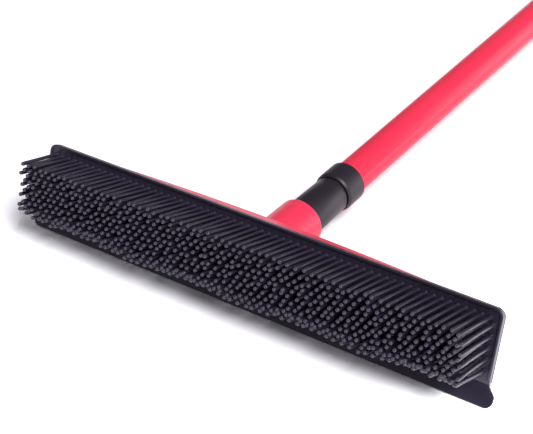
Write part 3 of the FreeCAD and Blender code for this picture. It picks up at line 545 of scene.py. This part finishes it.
# ---- Squeegee: the thin lip along the pad's lower edge, of the same shot of rubber.
# It flares to 320 mm at its ends, has rounded outer corners, and is tilted 20 degrees
# towards the bristles so that its edge scrapes while they brush.
LIP_ROOT, LIP_EDGE, LIP_THICKNESS = 0.4, -12.2, 1.4
SQUEEGEE_TILT = 20
lip = start("squeegee_lip", bpy.ops.mesh.primitive_cube_add, size=1,
            location=(0, (LIP_ROOT + LIP_EDGE) / 2, -LIP_THICKNESS / 2),
            scale=(PAD_LENGTH, LIP_ROOT - LIP_EDGE, LIP_THICKNESS))
pick(lip, "EDGE", lambda edge: runs_along(edge, 0))
bpy.ops.mesh.subdivide(number_cuts=79)
for reach in (-0.6, -1.5, -2.6, -4, -5.5):
    bpy.ops.mesh.select_all(action="SELECT")
    bpy.ops.mesh.bisect(plane_co=(0, reach, 0), plane_no=(0, 1, 0))
for reach, deeper in ((LIP_ROOT, 1.8), (-0.6, 1.5), (-1.5, 0.8), (-2.6, 0.35), (-4, 0.15)):
    pick(lip, "VERT", lambda corner: abs(corner.co.y - reach) < 0.05 and corner.co.z < -1)
    bpy.ops.transform.translate(value=(0, 0, -deeper))
for side in (-1, 1):
    for reach, flare in ((-1.5, 0.9), (-2.6, 2), (-4, 3.6), (-5.5, 4.6), (LIP_EDGE, 5)):
        pick(lip, "VERT", lambda corner: corner.co.x * side > 154 and abs(corner.co.y - reach) < 0.05)
        bpy.ops.transform.translate(value=(side * flare, 0, 0))
pick(lip, "EDGE", lambda edge: runs_along(edge, 2) and abs(middle(edge).x) > 159 and middle(edge).y < -12)
bpy.ops.mesh.bevel(offset=4.6, segments=10)
round_edges(lip, 0.25, 2, 50)
lip_tilt = Matrix.Rotation(math.radians(-SQUEEGEE_TILT), 4, "X")
lip_place = in_head @ Matrix.Translation((0, PAD_FOOT, 0)) @ lip_tilt
finish_piece(lip, lip_place, "head", tpr_rubber, ["squeegee_blade"])

# ---- Pole tip: the threaded stub and smooth sleeve that carry the pole, black polypropylene.
# It is one moulding; its coarse right-hand thread screws into the head, and its plug is pinned
# inside the lower tube.
POLE_STAND = math.radians(-90.6268)
POLE_ORIGIN = (0, -0.381762, 0.024175)
# Pieces of the pole are modelled in millimetres, with z along it, and z = 0 where the socket's axis
# is 5 mm behind the face that the bristles grow from.
in_pole = Matrix.Translation(POLE_ORIGIN) @ Matrix.Rotation(POLE_STAND, 4, "X") @ Matrix.Scale(MM, 4)
LOWER_TUBE_START, LOWER_TUBE_RADIUS = 80.5, 10.75
PIN_STATION, PIN_HOLE = 90, 1.6


def cross_hole(name, radius, axis, station):
    """A drill through the whole pole, across it at a station."""
    turn = (math.pi / 2, 0, 0) if axis == "y" else (0, math.pi / 2, 0)
    drill = start(name, bpy.ops.mesh.primitive_cylinder_add, vertices=32, radius=radius, depth=60,
                  location=(0, 0, station), rotation=turn)
    bpy.ops.object.mode_set(mode="OBJECT")
    return drill


tip = turned("pole_tip", [
    (0, 18.5), (7.3, 18.5), (8.8, 20), (8.8, 40.8), (12.2, 40.8), (11.55, 77.7), (LOWER_TUBE_RADIUS, 77.7),
    (LOWER_TUBE_RADIUS, LOWER_TUBE_START), (10.1, LOWER_TUBE_START), (10.1, 111), (9.5, 112),
    (5.6, 112), (5.6, 26.5), (0, 26.5)])
round_edges(tip, 0.25, 2)
combine(tip, cross_hole("pin_drill", PIN_HOLE, "y", PIN_STATION), "DIFFERENCE")
attach(tip, [thread_ridge("tip_thread", inner=8.6, outer=9.8, crest_outside=True, first=21.5, last=38.5)])

# Black polypropylene from a spark-eroded mould: charcoal with a dry sheen, and a grain of about
# a third of a millimetre that breaks the highlights up.
black_polypropylene, tree, shader = new_material("eroded_black_polypropylene", "#201923", 0.47, IOR=1.49)
flow = add_node(tree, "ShaderNodeTexNoise", {
    "Vector": coordinates(tree, 25, (3, 1, 3)), "Scale": 1.0, "Detail": 4.0})
tint = add_node(tree, "ShaderNodeMix", {
    "Factor": flow.outputs["Fac"], 6: linear("#1a141d"), 7: linear("#271e2a")}, data_type="RGBA")
tree.links.new(tint.outputs[2], shader.inputs["Base Color"])
sheen = add_node(tree, "ShaderNodeMapRange", {
    "Value": flow.outputs["Fac"], "To Min": 0.42, "To Max": 0.52})
tree.links.new(sheen.outputs["Result"], shader.inputs["Roughness"])
grain = add_node(tree, "ShaderNodeTexNoise", {
    "Vector": coordinates(tree, 0.35), "Scale": 1.0, "Detail": 2.0})
erosion = add_node(tree, "ShaderNodeBump", {
    "Height": grain.outputs["Fac"], "Strength": 0.3, "Distance": 0.0001})
tree.links.new(erosion.outputs["Normal"], shader.inputs["Normal"])
finish_piece(tip, in_pole, "lower_pole", black_polypropylene, ["threaded_tip"])

# The pin through tube and plug is a plain 3.2 mm steel dowel under the collar.
dress_node("tip_pin", zinc)

# ---- Collar: a loose black polypropylene ring that covers the joint of tip and tube.
# It slides over the pin and follows the pole as it is screwed out; its front edge slopes.
collar = turned("collar_ring", [
    (10.82, 79.3), (12.0, 79.3), (12.9, 81.0), (12.9, 95.4), (12.5, 95.9), (10.82, 95.9)])
round_edges(collar, 0.3, 3, 20)
finish_piece(collar, in_pole, "collar", black_polypropylene, ["collar"])

# ---- Lower tube: 21.5 mm welded steel tube with a 0.6 mm wall, red powder coat.
# It is drilled across for the tip's pin and for the lock's two rivets.
TUBE_WALL = 0.6
LOWER_TUBE_END = 620
RIVET_STATION, RIVET_HOLE = 604, 1.6
lower_tube = turned("lower_steel_tube", [
    (LOWER_TUBE_RADIUS - TUBE_WALL, LOWER_TUBE_START), (LOWER_TUBE_RADIUS, LOWER_TUBE_START),
    (LOWER_TUBE_RADIUS, LOWER_TUBE_END), (LOWER_TUBE_RADIUS - TUBE_WALL, LOWER_TUBE_END)])
round_edges(lower_tube, 0.12, 2)
combine(lower_tube, cross_hole("pin_drill", PIN_HOLE, "y", PIN_STATION), "DIFFERENCE")
combine(lower_tube, cross_hole("rivet_drill", RIVET_HOLE, "x", RIVET_STATION), "DIFFERENCE")

# Powder coat on steel, sprayed and baked: glossy red with the soft orange peel of a thick film.
powder_coat, tree, shader = new_material(
    "red_powder_coat", "#f63152", 0.36, Specular_IOR_Level=0.35, Coat_Weight=0.1, Coat_Roughness=0.2)
peel = add_node(tree, "ShaderNodeTexNoise", {
    "Vector": coordinates(tree, 2.2), "Scale": 1.0, "Detail": 2.0})
film = add_node(tree, "ShaderNodeTexNoise", {
    "Vector": coordinates(tree, 60), "Scale": 1.0, "Detail": 3.0})
tint = add_node(tree, "ShaderNodeMix", {
    "Factor": film.outputs["Fac"], 6: linear("#f32e4f"), 7: linear("#fa3656")}, data_type="RGBA")
tree.links.new(tint.outputs[2], shader.inputs["Base Color"])
gloss = add_node(tree, "ShaderNodeMapRange", {
    "Value": film.outputs["Fac"], "To Min": 0.32, "To Max": 0.4})
tree.links.new(gloss.outputs["Result"], shader.inputs["Roughness"])
orange_peel = add_node(tree, "ShaderNodeBump", {
    "Height": peel.outputs["Fac"], "Strength": 0.06, "Distance": 0.0005})
tree.links.new(orange_peel.outputs["Normal"], shader.inputs["Normal"])
finish_piece(lower_tube, in_pole, "lower_pole", powder_coat, ["lower_tube"])

# ---- Lock body: the black polypropylene socket of the twist lock, over the lower tube's end.
# Two steel rivets hold it, and its neck has the thread that the nut turns on.
lock = turned("lock_housing", [
    (LOWER_TUBE_RADIUS, 592), (12.2, 592), (13.2, 593.5), (13.2, 596.5), (12.8, 597), (12.8, 598.2),
    (13.2, 598.7), (13.2, 609.5), (12.8, 610), (12.8, 611.2), (13.2, 611.7), (13.2, 622), (11.4, 622),
    (11.4, 641), (9.57, 641), (9.57, LOWER_TUBE_END), (LOWER_TUBE_RADIUS, LOWER_TUBE_END)])
round_edges(lock, 0.2, 2)
combine(lock, cross_hole("rivet_drill", RIVET_HOLE, "x", RIVET_STATION), "DIFFERENCE")
attach(lock, [thread_ridge(
    "neck_thread", inner=11.2, outer=11.85, crest_outside=True, first=624.5, last=639.5)])
finish_piece(lock, in_pole, "lower_pole", black_polypropylene, ["lock_body"])

# ---- Lock rivets: two zinc plated steel pop rivets, one on each side of the lock body.
# They are set from outside, through the body and the lower tube, and hold the two together.
rivet = turned("pop_rivet", [
    (0, 10.2), (1.55, 10.2), (1.55, 13.2), (2.7, 13.2), (2.7, 13.5), (2.1, 14.0), (1.0, 14.3),
    (0, 14.3)], 32)
round_edges(rivet, 0.12, 2)
other_rivet = copy_of(rivet)
at_station = Matrix.Translation((0, 0, RIVET_STATION))
rivet.data.transform(at_station @ Matrix.Rotation(math.pi / 2, 4, "Y"))
other_rivet.data.transform(at_station @ Matrix.Rotation(-math.pi / 2, 4, "Y"))
attach(rivet, [other_rivet])
finish_piece(rivet, in_pole, "lower_pole", zinc, ["lock_rivets"])

# ---- Clamping ring and guide bush: natural nylon, turned and slit.
# Both keep their CAD shape and stay inside the pole; the ring grips the upper tube when the nut
# pushes it into its cone, and the bush guides the upper tube's hidden end.

# Natural nylon: milky, slightly warm white, waxy because light enters it a little way.
nylon, tree, shader = new_material(
    "natural_nylon", "#dcd8ca", 0.4, IOR=1.53, Subsurface_Weight=0.2, Subsurface_Scale=0.002)
cloud = add_node(tree, "ShaderNodeTexNoise", {
    "Vector": coordinates(tree, 8), "Scale": 1.0, "Detail": 3.0})
tint = add_node(tree, "ShaderNodeMix", {
    "Factor": cloud.outputs["Fac"], 6: linear("#d6d1c2"), 7: linear("#e2dfd3")}, data_type="RGBA")
tree.links.new(tint.outputs[2], shader.inputs["Base Color"])
dress_node("lock_collet", nylon)
dress_node("guide_bush", nylon)

# ---- Lock nut: the black polypropylene sleeve that is turned by hand to clamp the upper tube.
# Twenty ribs for the fingers are moulded on it.
RIBS = 20
nut = turned("twist_nut", [
    (12.07, 623), (14.8, 623), (16, 624.5), (16, 656.5), (14.5, 658), (9.9, 658), (9.9, 652.4),
    (10.97, 652.4), (12.07, 641.5)])
round_edges(nut, 0.3, 2)
rib = start("finger_rib", bpy.ops.mesh.primitive_cylinder_add, vertices=16, radius=1.3, depth=31,
            location=(15.7, 0, 640.5))
pick(rib, "EDGE", lambda edge: abs(edge.verts[0].co.z - edge.verts[1].co.z) < 0.01)
bpy.ops.mesh.bevel(offset=0.9, segments=3)
bpy.ops.object.mode_set(mode="OBJECT")
ribs = []
for place in range(RIBS):
    one = copy_of(rib)
    one.data.transform(Matrix.Rotation(place * 2 * math.pi / RIBS, 4, "Z"))
    ribs.append(one)
bpy.data.objects.remove(rib)
attach(nut, ribs)
finish_piece(nut, in_pole, "lock_nut", black_polypropylene, ["lock_nut"])

# ---- Upper tube: 19 mm steel tube with a 0.6 mm wall, red powder coat like the lower one.
# It slides in the lower tube on its bush and is drawn out 420 mm.
UPPER_TUBE_START, UPPER_TUBE_END, UPPER_TUBE_RADIUS = 134, 764, 9.5
upper_tube = turned("upper_steel_tube", [
    (UPPER_TUBE_RADIUS - TUBE_WALL, UPPER_TUBE_START), (UPPER_TUBE_RADIUS, UPPER_TUBE_START),
    (UPPER_TUBE_RADIUS, UPPER_TUBE_END), (UPPER_TUBE_RADIUS - TUBE_WALL, UPPER_TUBE_END)])
round_edges(upper_tube, 0.12, 2)
finish_piece(upper_tube, in_pole, "upper_pole", powder_coat, ["upper_tube"])

# ---- Grip: a black rubber sleeve, moulded with eleven shallow grooves round it.
# It is stretched over the upper tube's end, and its own tightness holds it there.
GRIP_START, GRIP_RADIUS, GROOVE_RADIUS = 664, 12.6, 11.8
GROOVES, FIRST_GROOVE, GROOVE_PITCH = 11, 672, 8
outline = [(UPPER_TUBE_RADIUS, GRIP_START), (11.6, GRIP_START), (GRIP_RADIUS, 666)]
for groove in range(GROOVES):
    at = FIRST_GROOVE + GROOVE_PITCH * groove
    outline += [(GRIP_RADIUS, at), (GROOVE_RADIUS, at + 0.6), (GROOVE_RADIUS, at + 1.8),
                (GRIP_RADIUS, at + 2.4)]
outline += [(GRIP_RADIUS, 763), (12, UPPER_TUBE_END), (UPPER_TUBE_RADIUS, UPPER_TUBE_END)]
grip = turned("hand_grip", outline)
round_edges(grip, 0.25, 2)

# Moulded rubber, solid black and dry, with a fine pebble grain for the hand.
grip_rubber, tree, shader = new_material("pebbled_grip_rubber", "#1b1a1c", 0.72)
pebbles = add_node(tree, "ShaderNodeTexVoronoi", {
    "Vector": coordinates(tree, 0.9), "Scale": 1.0}, feature="SMOOTH_F1")
dust = add_node(tree, "ShaderNodeTexNoise", {
    "Vector": coordinates(tree, 14), "Scale": 1.0, "Detail": 4.0})
tint = add_node(tree, "ShaderNodeMix", {
    "Factor": dust.outputs["Fac"], 6: linear("#161517"), 7: linear("#232225")}, data_type="RGBA")
tree.links.new(tint.outputs[2], shader.inputs["Base Color"])
dryness = add_node(tree, "ShaderNodeMapRange", {
    "Value": dust.outputs["Fac"], "To Min": 0.66, "To Max": 0.8})
tree.links.new(dryness.outputs["Result"], shader.inputs["Roughness"])
pebbling = add_node(tree, "ShaderNodeBump", {
    "Height": pebbles.outputs["Distance"], "Strength": 0.4, "Distance": 0.0002})
tree.links.new(pebbling.outputs["Normal"], shader.inputs["Normal"])
finish_piece(grip, in_pole, "upper_pole", grip_rubber, ["grip"])

# ---- End plug: a black polypropylene stopper glued in the tube's end; its shoulder covers the
# tube's rim and the grip's edge.
plug = turned("end_stopper", [
    (1.6, 742), (7.9, 742), (8.85, 744), (8.85, UPPER_TUBE_END), (12, UPPER_TUBE_END), (12, 767),
    (11, 768), (1.6, 768)])
round_edges(plug, 0.25, 2, 20)
finish_piece(plug, in_pole, "upper_pole", black_polypropylene, ["end_plug"])

# ---- Swivel rivet: a 3.2 mm zinc plated steel rivet, pressed into the plug along the pole's axis.
# Its head holds the hanging loop on and lets it turn.
swivel = turned("swivel_rivet_steel", [
    (0, 752), (1.6, 752), (1.6, 774.4), (3.2, 774.4), (3.2, 775.4), (2.4, 776.1), (1.2, 776.5),
    (0, 776.5)], 48)
round_edges(swivel, 0.15, 2)
finish_piece(swivel, in_pole, "upper_pole", zinc, ["swivel_rivet"])

# ---- Hanging loop: a flat black polypropylene tab with a 12 mm hole for a hook.
# It turns freely on the rivet, whose head sits in a pocket under the hole.
LOOP_FOOT, LOOP_TOP = 768.3, 801
HOOK_STATION, HOOK_RADIUS = 788, 6
loop = start("hanging_tab", bpy.ops.mesh.primitive_cube_add, size=1,
             location=(0, 0, (LOOP_FOOT + LOOP_TOP) / 2), scale=(26, 12, LOOP_TOP - LOOP_FOOT))
pick(loop, "EDGE", lambda edge: runs_along(edge, 1) and middle(edge).z > 800)
bpy.ops.mesh.bevel(offset=12.9, segments=16)
round_edges(loop, 1.1, 3, 50)
hook_drill = turned("hook_drill", [
    (0, -10), (7.8, -10), (7.8, -6.3), (6.7, -5.8), (6.1, -5.2), (HOOK_RADIUS, -4.4),
    (HOOK_RADIUS, 4.4), (6.1, 5.2), (6.7, 5.8), (7.8, 6.3), (7.8, 10), (0, 10)], 48)
hook_axis = Matrix.Translation((0, 0, HOOK_STATION)) @ Matrix.Rotation(math.pi / 2, 4, "X")
combine(loop, hook_drill, "DIFFERENCE", hook_axis)
seat = turned("rivet_pocket", [
    (0, 760), (1.67, 760), (1.67, 774.3), (3.4, 774.3), (3.4, HOOK_STATION), (0, HOOK_STATION)], 48)
combine(loop, seat, "DIFFERENCE")
finish_piece(loop, in_pole, "hanging_loop", black_polypropylene, ["hanging_loop"])

# ---- Studio: a white paper floor in a dim grey room, lit by one broad lamp up on the right.
# A large soft box behind on the right lightens the edges that face it.
floor = start("studio_floor", bpy.ops.mesh.primitive_plane_add, size=60)
bpy.ops.object.mode_set(mode="OBJECT")

# White paper, matt.  Bounced light meets its plain colour, but the lens and gloss see it brighter
# than white, more so from under the head's right half, and most beyond its end.  So it clips to
# plain white and keeps only the darker part of the object's shadow, and it lights the rubber's end
# wall and the outer bristles' flanks more than white paper would.  Both over-lit colours at 1 take
# that away.
PAPER = (0.88, 0.87, 0.9, 1)
OVER_LIT = (1.3, 1.28, 1.35, 1)
OVER_LIT_RIGHT = (4, 4, 4.1, 1)
RISE_START, RISE_END = 0.08, 0.2
paper = bpy.data.materials.new("matt_white_paper")
paper.use_nodes = True
tree = paper.node_tree
ray = add_node(tree, "ShaderNodeLightPath")
seen = add_node(tree, "ShaderNodeMath", {
    0: ray.outputs["Is Camera Ray"], 1: ray.outputs["Is Glossy Ray"]}, operation="MAXIMUM")
seen_through = add_node(tree, "ShaderNodeMath", {
    0: seen.outputs["Value"], 1: ray.outputs["Is Transmission Ray"]}, operation="MAXIMUM")
place = add_node(tree, "ShaderNodeSeparateXYZ", {
    "Vector": add_node(tree, "ShaderNodeTexCoord").outputs["Object"]})
# Painted pool of light: as the lens and gloss see it, the floor rises from 1.3 to 4 times white towards
# the right.
painted_light_pool_mask = add_node(tree, "ShaderNodeMapRange", {
    "Value": place.outputs["X"], "From Min": RISE_START, "From Max": RISE_END},
    interpolation_type="SMOOTHSTEP")
over_lit = add_node(tree, "ShaderNodeMix", {
    "Factor": painted_light_pool_mask.outputs["Result"], 6: OVER_LIT, 7: OVER_LIT_RIGHT}, data_type="RGBA")
whiteness = add_node(tree, "ShaderNodeMix", {
    "Factor": seen_through.outputs["Value"], 6: PAPER, 7: over_lit.outputs[2]}, data_type="RGBA")
matt = add_node(tree, "ShaderNodeBsdfDiffuse", {"Color": whiteness.outputs[2]})
tree.links.new(matt.outputs["BSDF"], tree.nodes["Material Output"].inputs["Surface"])
floor.data.materials.append(paper)

room = bpy.data.worlds.new("dim_room")
room.use_nodes = True
room.node_tree.nodes["Background"].inputs["Color"].default_value = (1, 1, 1, 1)
room.node_tree.nodes["Background"].inputs["Strength"].default_value = 0.18
bpy.context.scene.world = room

high_lamp = bpy.data.lights.new("high_lamp", "SUN")
high_lamp.energy = 3.2
high_lamp.angle = math.radians(24)
soft_box = bpy.data.lights.new("soft_box", "AREA")
soft_box.size = 1.2
soft_box.energy = 8
lamps = (
    (high_lamp, (1.2, -0.55, 1.6), (0, 0, 0)),
    (soft_box, (1.5, 1.6, 0.5), (0, -0.3, 0)))
for lamp, place, aim in lamps:
    fixture = bpy.data.objects.new(lamp.name, lamp)
    bpy.context.collection.objects.link(fixture)
    fixture.location = place
    fixture.rotation_euler = (Vector(place) - Vector(aim)).to_track_quat("Z", "Y").to_euler()

camera = bpy.data.cameras.new("camera")
camera.lens = 100.585
camera.sensor_width = 36
viewer = bpy.data.objects.new("camera", camera)
bpy.context.collection.objects.link(viewer)
viewer.location = (0.41353, -0.91998, 0.53359)
viewer.rotation_euler = [math.radians(turn) for turn in (54.6890, 2.6076, 35.0886)]
bpy.context.scene.camera = viewer
bpy.context.scene.view_settings.view_transform = "Standard"
